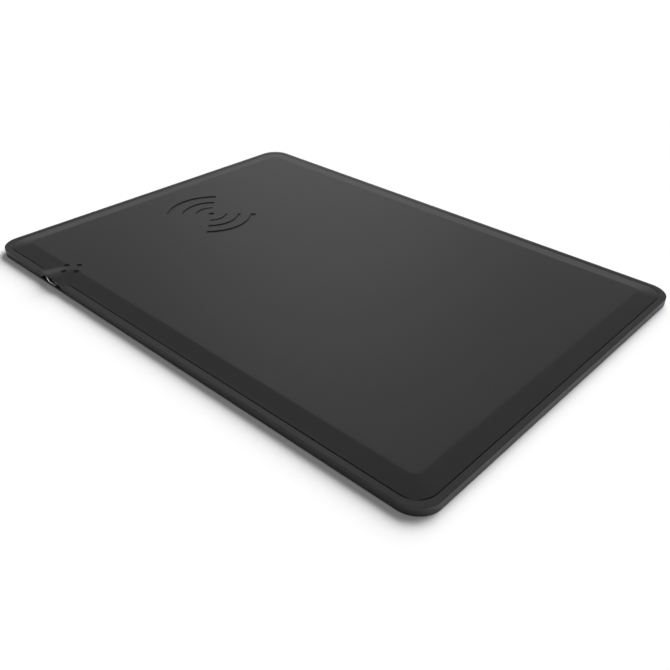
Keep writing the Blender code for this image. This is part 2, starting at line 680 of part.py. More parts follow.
def make_screws(steel):
    """Cover screws have their heads under the pad, board screws theirs over the board."""
    head_low, head_high = COVER_SCREW_HEAD_Z
    for index, place in enumerate(COVER_SCREW_PLACES):
        profile = [
            (0.0, COVER_SCREW_TIP),
            (COVER_SCREW_SHANK_RADIUS * 0.6, COVER_SCREW_TIP),
            (COVER_SCREW_SHANK_RADIUS, COVER_SCREW_TIP - 0.4),
            (COVER_SCREW_SHANK_RADIUS, head_high),
            (COVER_SCREW_HEAD_RADIUS, head_high),
            (COVER_SCREW_HEAD_RADIUS, head_low + 0.1),
            (COVER_SCREW_HEAD_RADIUS - 0.1, head_low),
            (DRIVE_RADIUS, head_low),
            (DRIVE_RADIUS, head_low + DRIVE_DEPTH),
            (0.0, head_low + DRIVE_DEPTH),
        ]
        turned(f"cover_screw_{index + 1}", profile, place, steel)
    seat = BOARD_Z[1] + SOLDER_GAP
    crown = seat + BOARD_SCREW_HEAD_HEIGHT
    for index, place in enumerate(BOARD_SCREW_PLACES):
        profile = [
            (0.0, crown - BOARD_DRIVE_DEPTH),
            (BOARD_DRIVE_RADIUS, crown - BOARD_DRIVE_DEPTH),
            (BOARD_DRIVE_RADIUS, crown),
            (BOARD_SCREW_HEAD_RADIUS - 0.1, crown),
            (BOARD_SCREW_HEAD_RADIUS, crown - 0.1),
            (BOARD_SCREW_HEAD_RADIUS, seat),
            (BOARD_SCREW_SHANK_RADIUS, seat),
            (BOARD_SCREW_SHANK_RADIUS, BOARD_SCREW_TIP),
            (0.0, BOARD_SCREW_TIP),
        ]
        turned(f"board_screw_{index + 1}", profile, place, steel)


def main():
    plastic = finish("soft_black_plastic", (0.028, 0.028, 0.029), 0.62)
    rubber = finish("mat_rubber", (0.02, 0.02, 0.021), 0.85)
    copper = finish("enamelled_copper", (0.72, 0.33, 0.14), 0.3, metallic=1.0)
    ferrite = finish("ferrite", (0.05, 0.05, 0.055), 0.55)
    foam = finish("foam", (0.06, 0.06, 0.06), 0.95)
    film = finish("adhesive_film", (0.8, 0.78, 0.7), 0.4)
    ceramic = finish("ceramic", (0.42, 0.3, 0.2), 0.5)
    board = finish("green_solder_mask", (0.02, 0.16, 0.07), 0.35)
    chip = finish("black_epoxy", (0.02, 0.02, 0.022), 0.5)
    steel = finish("nickel_steel", (0.6, 0.6, 0.6), 0.3, metallic=1.0)
    gold = finish("gold_plate", (0.83, 0.62, 0.25), 0.25, metallic=1.0)
    lamp = finish("lamp_body", (0.85, 0.84, 0.78), 0.4)
    smoke = finish("smoked_clear_plastic", (0.012, 0.012, 0.013), 0.2)

    make_bottom_cover(plastic)
    make_top_cover(plastic)
    make_mat(rubber)
    make_coil_stack(copper, ferrite, foam, film, ceramic)
    make_socket(steel, chip, gold)
    make_board(board)
    make_components(chip, ceramic, ferrite, lamp)
    make_light_guide(smoke)
    make_screws(steel)


clear_scene()
PARTS = new_collection("wireless_charging_pad")
TOOLS = new_collection("cutters")
main()
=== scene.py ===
"""Looks for the wireless charging desk pad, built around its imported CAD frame.

Sizes below are in millimetres, like the CAD's, and MM turns them into Blender's metres. +X runs along the
long side, away from the charging end, and -Y faces the edge that holds the power socket.
"""

import math

import bmesh
import bpy
from mathutils import Matrix, Vector


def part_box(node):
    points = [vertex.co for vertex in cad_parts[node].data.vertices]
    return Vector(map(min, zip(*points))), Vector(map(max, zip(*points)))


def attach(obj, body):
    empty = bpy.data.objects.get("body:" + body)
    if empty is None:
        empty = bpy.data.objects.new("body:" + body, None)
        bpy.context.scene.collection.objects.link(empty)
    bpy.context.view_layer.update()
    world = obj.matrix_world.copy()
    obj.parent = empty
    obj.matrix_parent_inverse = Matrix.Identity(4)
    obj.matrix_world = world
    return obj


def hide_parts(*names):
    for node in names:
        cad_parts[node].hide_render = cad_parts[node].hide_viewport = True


MM = 0.001

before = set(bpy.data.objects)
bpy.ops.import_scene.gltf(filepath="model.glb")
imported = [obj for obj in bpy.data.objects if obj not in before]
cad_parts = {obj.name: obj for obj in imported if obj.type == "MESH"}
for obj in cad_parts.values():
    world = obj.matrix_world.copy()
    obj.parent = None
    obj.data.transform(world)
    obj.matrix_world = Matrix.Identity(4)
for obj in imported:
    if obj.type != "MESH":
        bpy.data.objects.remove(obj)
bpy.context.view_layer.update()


def node_box(node):
    """A CAD node's lowest and highest corner, in millimetres."""
    low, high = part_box(node)
    return low / MM, high / MM


def node_middle(node):
    low, high = node_box(node)
    return (low + high) / 2


# Places read from the frame
TRAY_LOW, TRAY_HIGH = node_box("bottom_cover")
MAT_LOW, MAT_HIGH = node_box("anti_slip_mat")
SHELL_LOW, SHELL_HIGH = node_box("usb_socket_shell")
GUIDE_LOW, GUIDE_HIGH = node_box("light_guide")
COIL = node_middle("ferrite_shield")
WINDOWS = node_middle("light_guide")
HALF_LENGTH = TRAY_HIGH.x
HALF_WIDTH = TRAY_HIGH.y
MAT_INSET = MAT_LOW.x + HALF_LENGTH
PLATEAU_TOP = node_box("top_cover")[1].z
SOCKET_X = (SHELL_LOW.x + SHELL_HIGH.x) / 2

# How far a cutting tool reaches past the solid it cuts, and an added solid sinks into the one it stands on
OVERCUT = 1.0
ROOT = 0.3

# Outline and heights
OUTER_CORNER_RADIUS = 9.4
SEAM_CORNER_RADIUS = 7.9
PLATEAU_CORNER_RADIUS = 3.3
LEAST_CORNER_RADIUS = 2.0
CORNER_STEPS = 18
LEDGE_WIDTH = 2.7
SEAM_WIDTH = 0.12
PLATEAU_INSET = 10.6
PLATEAU_RISE = 1.4
PLATEAU_SOFTENING = 0.11
RIM_TOP = PLATEAU_TOP - PLATEAU_RISE
EDGE_LIFT = 0.03
STEP_TOP = RIM_TOP - 1.0
STEP_INSET = 4.0
COVER_THICKNESS = 0.9
COVER_EDGE = LEDGE_WIDTH + SEAM_WIDTH
COVER_EDGE_BREAK = 0.12
COVER_EDGE_BOTTOM = STEP_TOP + 0.1
COVER_CEILING = PLATEAU_TOP - COVER_THICKNESS
COVER_CEILING_INSET = PLATEAU_INSET + 0.3
COVER_HOLLOW_INSET = STEP_INSET + 0.25

# Rings and stations of the top cover's mesh
SLOPE_RINGS = 12
SLOPE_SPACING = 0.5
BEND_RINGS = 19
BEND_INSET = 9.0
BEND_SPACING = 0.2
PLATEAU_INSETS = (14.0, 16.0)
SIDE_STATIONS = (-60.0, -30.0, 0.0, 30.0, 60.0)
FRONT_STATIONS = (-30.0, 0.0, 30.0, 60.0, 90.0)
HOOD_MARGINS = (1.0, 2.5, 5.0, 9.0)
HOOD_STEPS = 52
TAB_INSETS = (2.5, 2.0, 1.5, 1.1, 0.8, 0.55, 0.35, 0.24, 0.14, 0.06, 0.0)

# Hood over the socket
HOOD_HALF_WIDTH = 9.75
HOOD_CREST_HALF_WIDTH = 0.4
HOOD_FALL = 0.25
HOOD_EDGE_RADIUS = 0.35
HOOD_BLEND = 0.35
HOOD_NOTCH_GAP = 0.15
HOOD_ROOF_THICKNESS = 0.5
HOOD_SIDE_THICKNESS = 1.2
HOOD_CAVITY_BACK = 12.5
HOOD_CAVITY_STEPS = 24
RECESS_FLOOR = 1.05
RECESS_DEPTH = 3.0
LEG_GAP = 0.1
CURTAIN_BACK = 3.85

# The arched mouth, and its flare as (inset, added half width, added height)
MOUTH_HALF_WIDTH = 9.0
MOUTH_TOP = 4.3
MOUTH_DEPTH = 1.2
MOUTH_BASE_DROP = 0.5
MOUTH_STEPS = 32
MOUTH_FLARE = ((-OVERCUT, 0.5, 0.25), (0.0, 0.2, 0.1), (0.35, 0.0, 0.0), (MOUTH_DEPTH, 0.0, 0.0))

# Pictogram, and its walls as (distance outward, height over the plateau)
PICTOGRAM_DEPTH = 0.42
PICTOGRAM_DOT_RADIUS = 1.35
PICTOGRAM_BANDS = ((6.6, 7.7), (12.6, 14.2), (18.9, 21.5))
PICTOGRAM_HALF_ANGLE = 46.0
PICTOGRAM_WALL = ((-0.08, -PICTOGRAM_DEPTH), (0.0, -0.06), (0.06, 0.0), (0.16, 0.1))

# Indicator windows, with the edge of their holes as (distance outward, height over the cover), and the pips
# in them, with their domes as (share of the radius, depth below the top)
WINDOW_OFFSETS = ((-3.8, 0.0), (0.0, 3.8), (3.8, 0.0), (0.0, -3.8))
WINDOW_HOLE_RADIUS = 1.05
WINDOW_EDGE = ((0.0, -0.08), (0.08, 0.0), (0.3, 0.22))
GUIDE_THICKNESS = 0.35
GUIDE_EDGE_BREAK = 0.1
PIP_RADIUS = 0.9
PIP_DEPTH = 0.25
PIP_DOME = ((1.0, 0.22), (0.9, 0.12), (0.65, 0.04), (0.3, 0.0))

# Bottom cover, with FLAT_MARGIN from a rounded edge to the ring that keeps the next face's shading flat
FLOOR_TOP = 1.9
FOOT_RADIUS = 0.2
BRIM_RADIUS = 0.15
FLAT_MARGIN = 0.05
EDGE_STEPS = 4
LEDGE_BREAK = 0.2
GROOVE_GAP = 0.04
RIB_HALF_WIDTH = 0.6
RIB_COLUMNS = (-30.0, 10.0, 50.0, 90.0)
RIB_ROWS = (-35.0, 0.0, 35.0)
RIB_REACH = 60.0
RIB_ROW_DROP = 0.1
COIL_RING_INNER = 27.0
COIL_RING_OUTER = 28.2
COIL_RING_HALF_GAP = 7.0
COIL_RING_STEPS = 96

# Anti-slip mat and the room it sits in
MAT_SIDE_GAP = 0.3
MAT_RECESS_TOP = MAT_HIGH.z + 0.1
MAT_FOOT_RADIUS = 0.3
MAT_TOP_BREAK = 0.08

# Screw holes, bosses and the board's standoffs
BOSS_RADIUS = 2.6
PILOT_RADIUS = 0.95
PILOT_TOP = COVER_CEILING - 0.25
SCREW_PAD_RADIUS = 3.6
SCREW_HEAD_HOLE_RADIUS = 2.2
SCREW_SEAT_Z = 1.8
SCREW_HOLE_RADIUS = 1.1
STANDOFF_RADIUS = 2.0
STANDOFF_TOP = 2.1
STANDOFF_HOLE_RADIUS = 0.75
STANDOFF_HOLE_Z = (1.3, 2.5)
SMALL_HOLE_STEPS = 24

# Socket: a drawn can round a standard opening, whose mouth flares over an arc
SHELL_THICKNESS = 0.27
SHELL_CLEARANCE = 0.15
SHELL_BACK_BREAK = 0.15
SOCKET_SIDE_HEIGHT = 1.05
SOCKET_BOTTOM_HALF_WIDTH = 2.6
SOCKET_CORNER_RADIUS = 0.35
SOCKET_CORNER_STEPS = 5
FLARE_RADIUS = 0.5
FLARE_ANGLE = math.radians(60.0)
FLARE_STEPS = 7
FLARE_LIP = 0.03

# Viewpoint, with azimuth from +X towards +Y and elevation in degrees
LENS = 41.32
SENSOR = 36.0
CLIP_START = 10.0
CAMERA_TARGET = Vector((39.9, -35.66, 3.6))
CAMERA_AZIMUTH = -48.248
CAMERA_ELEVATION = 33.429
CAMERA_ROLL = math.radians(1.2365)
CAMERA_DISTANCE = 290.15

# Lights, with azimuth from +X towards +Y and elevation in degrees, then strength
SUNS = ((104.0, 30.0, 3.35), (90.0, 42.0, 1.65))
SUN_DISTANCE = 2000.0
SUN_SPREAD = math.radians(50.0)
SOFTBOXES = (
    ("low_softbox", 95.0, 12.0, 0.6),
    ("low_softbox", 114.0, 12.0, 0.6),
    ("low_softbox", 133.0, 12.0, 0.6),
    ("low_softbox", 152.0, 12.0, 0.6),
    ("low_softbox", 171.0, 12.0, 0.6),
    ("left_softbox", 171.0, 12.0, 0.5),
    ("sheen_softbox", 133.0, 34.0, 1.26),
    ("high_softbox", 133.0, 46.0, 0.25),
    ("front_softbox", -56.0, 52.0, 3.8),
)
GLINT_SOFTBOXES = ((214.0, 36.0, 1.3), (190.0, 50.0, 0.5))
SOFTBOX_DISTANCE = 1500.0
SOFTBOX_WIDTH = 550.0
SOFTBOX_HEIGHT = 450.0
WORLD_GLOW = 0.02
FLOOR_REACH = 4000.0
FLOOR_GREY = 0.93
FLOOR_ROUGHNESS = 0.9


# ---------------------------------------------------------------- camera, light and floor


def make_camera():
    data = bpy.data.cameras.new("main_view")
    data.lens = LENS
    data.sensor_width = SENSOR
    data.clip_start = CLIP_START * MM
    camera = bpy.data.objects.new("main_view", data)
    bpy.context.scene.collection.objects.link(camera)
    outward = direction(CAMERA_AZIMUTH, CAMERA_ELEVATION)
    right = direction(CAMERA_AZIMUTH + 90.0, 0.0)
    up = outward.cross(right)
    rolled_right = right * math.cos(CAMERA_ROLL) + up * math.sin(CAMERA_ROLL)
    rolled_up = up * math.cos(CAMERA_ROLL) - right * math.sin(CAMERA_ROLL)
    turn = Matrix((rolled_right, rolled_up, outward)).transposed().to_4x4()
    place = (CAMERA_TARGET + outward * CAMERA_DISTANCE) * MM
    camera.matrix_world = Matrix.Translation(place) @ turn
    bpy.context.scene.camera = camera


def direction(azimuth, elevation):
    """A unit vector at an azimuth from +X towards +Y and an elevation, both in degrees."""
    a = math.radians(azimuth)
    e = math.radians(elevation)
    return Vector((math.cos(e) * math.cos(a), math.cos(e) * math.sin(a), math.sin(e)))


def add_light(name, kind, toward, distance, strength):
    data = bpy.data.lights.new(name, kind)
    data.energy = strength
    light = bpy.data.objects.new(name, data)
    light.location = toward * distance * MM
    light.rotation_euler = toward.to_track_quat("Z", "Y").to_euler()
    bpy.context.scene.collection.objects.link(light)
    return light


def add_softbox(name, azimuth, elevation, strength):
    softbox = add_light(name, "AREA", direction(azimuth, elevation), SOFTBOX_DISTANCE, strength)
    softbox.data.shape = "RECTANGLE"
    softbox.data.size = SOFTBOX_WIDTH * MM
    softbox.data.size_y = SOFTBOX_HEIGHT * MM
    return softbox


def make_lights():
    """Two broad lights from behind whiten the floor and throw its soft shadows. The softboxes give the
    plastic its sheen: a low row round the far side, doubled at its left end, two over it, and one over the
    front that glints on near edges. Two more glint in the socket's lip and leave the floor alone.
    """
    for azimuth, elevation, strength in SUNS:
        sun = add_light("broad_key", "SUN", direction(azimuth, elevation), SUN_DISTANCE, strength)
        sun.data.angle = SUN_SPREAD
        sun.visible_glossy = False
    for name, azimuth, elevation, strength in SOFTBOXES:
        add_softbox(name, azimuth, elevation, strength)
    for azimuth, elevation, strength in GLINT_SOFTBOXES:
        glint = add_softbox("glint_softbox", azimuth, elevation, strength)
        glint.visible_diffuse = False


def make_world():
    """The world is white to look at and dim as a light."""
    world = bpy.data.worlds.new("studio")
    world.use_nodes = True
    background = world.node_tree.nodes["Background"]
    background.inputs["Color"].default_value = (1.0, 1.0, 1.0, 1.0)
    rays = world.node_tree.nodes.new("ShaderNodeLightPath")
    strength = world.node_tree.nodes.new("ShaderNodeMapRange")
    strength.inputs["To Min"].default_value = WORLD_GLOW
    world.node_tree.links.new(rays.outputs["Is Camera Ray"], strength.inputs["Value"])
    world.node_tree.links.new(strength.outputs["Result"], background.inputs["Strength"])
    bpy.context.scene.world = world
    view = bpy.context.scene.view_settings
    view.view_transform = "Standard"
    view.look = "None"


def make_floor():
    mesh = bmesh.new()
    bmesh.ops.create_grid(mesh, x_segments=1, y_segments=1, size=FLOOR_REACH * MM)
    floor = mesh_object("floor", mesh)
    material = bpy.data.materials.new("pale_floor")
    material.use_nodes = True
    shader = material.node_tree.nodes["Principled BSDF"]
    shader.inputs["Base Color"].default_value = (*grey(FLOOR_GREY), 1.0)
    shader.inputs["Roughness"].default_value = FLOOR_ROUGHNESS
    shader.inputs["Specular IOR Level"].default_value = 0.0
    floor.data.materials.append(material)


# ---------------------------------------------------------------- mesh helpers


def mesh_object(name, mesh, material=None):
    data = bpy.data.meshes.new(name)
    mesh.to_mesh(data)
    mesh.free()
    thing = bpy.data.objects.new(name, data)
    bpy.context.scene.collection.objects.link(thing)
    if material:
        data.materials.append(material)
    return thing


def bridge_rings(mesh, rings):
    for near, far in zip(rings, rings[1:]):
        for i in range(len(near)):
            j = (i + 1) % len(near)
            mesh.faces.new((near[i], near[j], far[j], far[i]))


def loft(name, rings, material=None):
    """A closed skin through rings of equally many points, with the first and last ring filled."""
    mesh = bmesh.new()
    loops = [[mesh.verts.new(point * MM) for point in ring] for ring in rings]
    bridge_rings(mesh, loops)
    mesh.faces.new(loops[0])
    mesh.faces.new(loops[-1])
    bmesh.ops.recalc_face_normals(mesh, faces=mesh.faces)
    return mesh_object(name, mesh, material)


def box_between(name, low, high):
    corners_below = [(low[0], low[1]), (high[0], low[1]), (high[0], high[1]), (low[0], high[1])]
    return loft(name, [[Vector((x, y, z)) for x, y in corners_below] for z in (low[2], high[2])])


def circle(radius, z, place, steps):
    turn = [2.0 * math.pi * step / steps for step in range(steps)]
    return [Vector((place[0] + radius * math.cos(a), place[1] + radius * math.sin(a), z)) for a in turn]


def round_solid(name, profile, place, steps=48, material=None):
    """A solid turned about the upright line through place, from a profile of (radius, z)."""
    return loft(name, [circle(radius, z, place, steps) for radius, z in profile], material)


def band_sector(name, levels, side, half_angle, place, steps=40):
    """A curved bar along an arc. levels holds (inner radius, outer radius, end trim, z) from low to high."""
    inward = [(inner, trim, z) for inner, _, trim, z in levels]
    outward = [(outer, trim, z) for _, outer, trim, z in reversed(levels)]
    rings = []
    for step in range(steps + 1):
        share = 2.0 * step / steps - 1.0
        ring = []
        for radius, trim, z in inward + outward:
            angle = side + share * (half_angle - trim / radius)
            x = place[0] + radius * math.cos(angle)
            y = place[1] + radius * math.sin(angle)
            ring.append(Vector((x, y, z)))
        rings.append(ring)
    return loft(name, rings)


def apply_booleans(target, tools):
    """Applies (operation, tool) pairs to target in order and deletes the tools."""
    for operation, tool in tools:
        modifier = target.modifiers.new(operation, "BOOLEAN")
        modifier.operation = operation
        modifier.solver = "EXACT"
        modifier.object = tool
    graph = bpy.context.evaluated_depsgraph_get()
    done = bpy.data.meshes.new_from_object(target.evaluated_get(graph))
    target.modifiers.clear()
    target.data = done
    for _, tool in tools:
        bpy.data.objects.remove(tool, do_unlink=True)


def smooth(thing, angle=30.0):
    thing.data.shade_smooth()
    thing.data.set_sharp_from_angle(angle=math.radians(angle))


def front(inset):
    """The y of a line parallel to the socket's edge, inset inward from it."""
    return inset - HALF_WIDTH


def corner_radius(inset):
    """The corners tighten a little across the ledge, and then from the seam inward to the plateau's."""
    if inset <= LEDGE_WIDTH:
        share = inset / LEDGE_WIDTH
        return OUTER_CORNER_RADIUS + share * (SEAM_CORNER_RADIUS - OUTER_CORNER_RADIUS)
    share = (inset - LEDGE_WIDTH) / (PLATEAU_INSET - LEDGE_WIDTH)
    radius = SEAM_CORNER_RADIUS + share * (PLATEAU_CORNER_RADIUS - SEAM_CORNER_RADIUS)
    return max(radius, LEAST_CORNER_RADIUS)


def outline(inset, front_stations=(), side_stations=()):
    """(x, y) points round the pad, inset inward, from the +X end of the +Y side, anticlockwise.

    front_stations are extra x values along the socket's edge, low to high; side_stations, along the others.
    """
    radius = corner_radius(inset)
    reach_x = HALF_LENGTH - inset
    reach_y = HALF_WIDTH - inset
    ring = []
    for quarter, (side_x, side_y) in enumerate(((1, 1), (-1, 1), (-1, -1), (1, -1))):
        centre_x = side_x * (reach_x - radius)
        centre_y = side_y * (reach_y - radius)
        for step in range(CORNER_STEPS + 1):
            angle = math.radians(90.0 * (quarter + step / CORNER_STEPS))
            ring.append((centre_x + radius * math.cos(angle), centre_y + radius * math.sin(angle)))
        if quarter == 0:
            ring += [(x, reach_y) for x in reversed(side_stations)]
        elif quarter == 1:
            ring += [(-reach_x, y) for y in reversed(side_stations)]
        elif quarter == 2:
            ring += [(x, -reach_y) for x in front_stations]
        else:
            ring += [(reach_x, y) for y in side_stations]
    return ring


def flat_ring(inset, z):
    return [Vector((x, y, z)) for x, y in outline(inset)]


def quarter_arc(radius):
    """(across, up) along a quarter circle that starts level and ends upright, from (0, 0)."""
    angles = [math.radians(90.0 * step / EDGE_STEPS) for step in range(EDGE_STEPS + 1)]
    return [(radius * math.sin(angle), radius * (1.0 - math.cos(angle))) for angle in angles]


def rounded_foot(inset, z, radius):
    """Rings up a rounded lower edge, from its flat underside to its upright side at inset."""
    return [flat_ring(inset + radius - across, z + up) for across, up in quarter_arc(radius)]


def rounded_brim(inset, z, radius):
    """Rings up a rounded upper edge, from its upright side at inset to its flat top at z."""
    return [flat_ring(inset + up, z - radius + across) for across, up in quarter_arc(radius)]


# ---------------------------------------------------------------- top cover


def slope_rise(inset):
    """Height over the rim of the plate's border: straight, with a soft round where it meets the plateau."""
    run = (inset - COVER_EDGE) / (PLATEAU_INSET - COVER_EDGE)
    straight = EDGE_LIFT + (PLATEAU_RISE - EDGE_LIFT) * run
    gap = PLATEAU_RISE - straight
    if gap >= PLATEAU_SOFTENING:
        return straight
    if gap <= -PLATEAU_SOFTENING:
        return PLATEAU_RISE
    return PLATEAU_RISE - (gap + PLATEAU_SOFTENING) ** 2 / (4.0 * PLATEAU_SOFTENING)


def hood_rise(x, inset):
    """Height over the rim of the hood, which falls a little towards the wall and rounds over in front."""
    run = (abs(x - SOCKET_X) - HOOD_CREST_HALF_WIDTH) / (HOOD_HALF_WIDTH - HOOD_CREST_HALF_WIDTH)
    run = min(max(run, 0.0), 1.0)
    across = 0.5 * (1.0 + math.cos(math.pi * run))
    outward = max(0.0, 1.0 - inset / PLATEAU_INSET)
    edge = max(0.0, HOOD_EDGE_RADIUS - inset)
    rounding = HOOD_EDGE_RADIUS - math.sqrt(HOOD_EDGE_RADIUS**2 - edge**2)
    return (PLATEAU_RISE - HOOD_FALL * outward**2) * across - rounding


def cover_rise(x, inset, near_socket):
    """The cover's height over the rim: the higher of slope and hood, with a small fillet between them."""
    if not near_socket:
        return slope_rise(inset)
    hood = hood_rise(x, inset)
    if inset < COVER_EDGE:
        return hood
    slope = slope_rise(inset)
    blend = max(HOOD_BLEND - abs(slope - hood), 0.0) ** 2 / (4.0 * HOOD_BLEND)
    return min(max(slope, hood) + blend, PLATEAU_RISE)


def cover_insets():
    """The rings' insets: up the slope, close together where it bends, and onto the plateau."""
    slope = [COVER_EDGE + COVER_EDGE_BREAK + SLOPE_SPACING * ring for ring in range(SLOPE_RINGS)]
    bend = [BEND_INSET + BEND_SPACING * ring for ring in range(BEND_RINGS)]
    return [COVER_EDGE, *slope, *bend, *PLATEAU_INSETS]


def hood_stations():
    """x values across the hood, from one of its sides to the other."""
    left = SOCKET_X - HOOD_HALF_WIDTH
    return [left + 2.0 * HOOD_HALF_WIDTH * step / HOOD_STEPS for step in range(HOOD_STEPS + 1)]


def make_top_cover(material):
    across = hood_stations()
    left = [across[0] - margin for margin in reversed(HOOD_MARGINS)]
    right = [across[-1] + margin for margin in HOOD_MARGINS]
    stations = [*left, *across, *right, *FRONT_STATIONS]
    begin = 3 * (CORNER_STEPS + 1) + 2 * len(SIDE_STATIONS)
    socket_side = range(begin, begin + len(stations))
    tab = range(begin + len(left), begin + len(left) + len(across))

    mesh = bmesh.new()
    rings = []
    for inset in cover_insets():
        edge_drop = COVER_EDGE_BREAK if inset == COVER_EDGE else 0.0
        ring = []
        for index, (x, y) in enumerate(outline(inset, stations, SIDE_STATIONS)):
            drop = 0.0 if index in tab else edge_drop
            z = RIM_TOP + cover_rise(x, inset, index in socket_side) - drop
            ring.append(mesh.verts.new(Vector((x, y, z)) * MM))
        rings.append(ring)
    bridge_rings(mesh, rings)
    mesh.faces.new(rings[-1])
    rows = add_tab(mesh, [rings[0][index] for index in tab], across)
    close_cover_below(mesh, rings[0], rows, tab)
    bmesh.ops.recalc_face_normals(mesh, faces=mesh.faces)

    cover = mesh_object("top_cover_skin", mesh, material)
    tools = cover_cavities() + cover_bosses() + window_cutters() + pictogram_cutters()
    apply_booleans(cover, tools)
    smooth(cover)
    finish_piece(cover, "top_cover")


def add_tab(mesh, edge, across):
    """Rows of vertices from the cover's edge out to the wall, over the hood. across is their x values."""
    rows = [edge]
    for inset in TAB_INSETS:
        places = [Vector((x, front(inset), RIM_TOP + cover_rise(x, inset, True))) for x in across]
        rows.append([mesh.verts.new(place * MM) for place in places])
    for near, far in zip(rows, rows[1:]):
        for i in range(len(near) - 1):
            mesh.faces.new((near[i], near[i + 1], far[i + 1], far[i]))
    return rows


def close_cover_below(mesh, edge, rows, tab):
    """Upright walls under the cover's outer edge and the hood, and the flat undersides."""

    def below(vert, z):
        return mesh.verts.new((vert.co.x, vert.co.y, z * MM))

    low_edge = [below(vert, COVER_EDGE_BOTTOM) for vert in edge]
    first = tab[0]
    last = tab[-1]
    count = len(edge)
    for i in range(count):
        if first <= i < last:
            continue
        j = (i + 1) % count
        mesh.faces.new((edge[i], edge[j], low_edge[j], low_edge[i]))
    mesh.faces.new(low_edge)

    left = [row[0] for row in rows]
    right = [row[-1] for row in rows]
    border = left + rows[-1][1:-1] + list(reversed(right))
    low_border = [below(vert, RECESS_FLOOR + LEG_GAP) for vert in border]
    for i in range(len(border) - 1):
        if i == 0:
            mesh.faces.new((border[0], border[1], low_border[1], low_border[0], low_edge[first]))
        elif i == len(border) - 2:
            mesh.faces.new((border[-2], border[-1], low_edge[last], low_border[-1], low_border[-2]))
        else:
            mesh.faces.new((border[i], border[i + 1], low_border[i + 1], low_border[i]))
    mesh.faces.new(low_border)
    back = [low_edge[i] for i in tab]
    mesh.faces.new([*back, low_border[-1], low_border[0]])


def hood_cavity_section(y):
    """The room under the hood's roof and between its sides."""
    half_width = HOOD_HALF_WIDTH - HOOD_SIDE_THICKNESS
    bottom = STEP_TOP - OVERCUT
    curve = []
    for step in range(HOOD_CAVITY_STEPS + 1):
        offset = half_width * (2.0 * step / HOOD_CAVITY_STEPS - 1.0)
        roof = RIM_TOP + hood_rise(SOCKET_X + offset, PLATEAU_INSET) - HOOD_ROOF_THICKNESS
        curve.append(Vector((SOCKET_X + offset, y, min(roof, COVER_CEILING))))
    return [Vector((SOCKET_X - half_width, y, bottom)), *curve, Vector((SOCKET_X + half_width, y, bottom))]


def mouth_section(half_width, top, y):
    """The arched recess under the hood, as a circle's segment that stands below the recess floor."""
    rise = top - (RECESS_FLOOR - MOUTH_BASE_DROP)
    radius = (half_width**2 + rise**2) / (2.0 * rise)
    half_angle = math.asin(half_width / radius)
    section = []
    for step in range(MOUTH_STEPS + 1):
        angle = half_angle * (2.0 * step / MOUTH_STEPS - 1.0)
        x = SOCKET_X + radius * math.sin(angle)
        section.append(Vector((x, y, top - radius * (1.0 - math.cos(angle)))))
    return section


def socket_room(back_y):
    """The opening that the socket's shell passes through, from outside the wall to back_y."""
    grow = SHELL_THICKNESS + SHELL_CLEARANCE
    return loft("socket_room", [socket_section(grow, y) for y in (front(-OVERCUT), back_y)])


def cover_cavities():
    hollow = [
        flat_ring(COVER_HOLLOW_INSET, STEP_TOP - OVERCUT),
        flat_ring(COVER_HOLLOW_INSET, COVER_EDGE_BOTTOM),
        flat_ring(COVER_CEILING_INSET, COVER_CEILING),
    ]
    hood_cavity = [hood_cavity_section(front(inset)) for inset in (CURTAIN_BACK, HOOD_CAVITY_BACK)]
    mouth = [
        mouth_section(MOUTH_HALF_WIDTH + wider, MOUTH_TOP + higher, front(inset))
        for inset, wider, higher in MOUTH_FLARE
    ]
    return [
        ("DIFFERENCE", loft("hollow", hollow)),
        ("DIFFERENCE", loft("hood_cavity", hood_cavity)),
        ("DIFFERENCE", loft("mouth", mouth)),
        ("DIFFERENCE", socket_room(front(CURTAIN_BACK + OVERCUT))),
    ]


def screw_places(stem, count):
    middles = [node_middle(name) for name in numbered(stem, count)]
    return [(middle.x, middle.y) for middle in middles]


def cover_bosses():
    tools = []
    for place in screw_places("cover_screw", 6):
        boss = [(BOSS_RADIUS, COVER_EDGE_BOTTOM), (BOSS_RADIUS, COVER_CEILING + ROOT)]
        pilot = [(PILOT_RADIUS, STEP_TOP - OVERCUT), (PILOT_RADIUS, PILOT_TOP)]
        tools.append(("UNION", round_solid("boss", boss, place)))
        tools.append(("DIFFERENCE", round_solid("pilot", pilot, place, SMALL_HOLE_STEPS)))
    return tools


def windows():
    """The place of each indicator window and the height of the cover there, as (x, y, z)."""
    places = [(WINDOWS.x + x, WINDOWS.y + y) for x, y in WINDOW_OFFSETS]
    return [(x, y, RIM_TOP + cover_rise(x, y + HALF_WIDTH, True)) for x, y in places]


def window_cutters():
    """Round holes with a slightly broken upper edge."""
    tools = []
    for x, y, top in windows():
        profile = [(WINDOW_HOLE_RADIUS, COVER_CEILING - OVERCUT)]
        profile += [(WINDOW_HOLE_RADIUS + outward, top + up) for outward, up in WINDOW_EDGE]
        tools.append(("DIFFERENCE", round_solid("window_hole", profile, (x, y))))
    return tools


def pictogram_cutters():
    """The dot and the six arcs, with a small draft on their walls and a broken upper edge."""
    place = (COIL.x, COIL.y)
    dot = [(PICTOGRAM_DOT_RADIUS + outward, PLATEAU_TOP + up) for outward, up in PICTOGRAM_WALL]
    tools = [("DIFFERENCE", round_solid("pictogram_dot", dot, place))]
    half_angle = math.radians(PICTOGRAM_HALF_ANGLE)
    for side in (0.0, math.pi):
        for inner, outer in PICTOGRAM_BANDS:
            levels = [(inner - wide, outer + wide, -wide, PLATEAU_TOP + up) for wide, up in PICTOGRAM_WALL]
            tools.append(("DIFFERENCE", band_sector("pictogram_arc", levels, side, half_angle, place)))
    return tools


# ---------------------------------------------------------------- bottom cover and mat


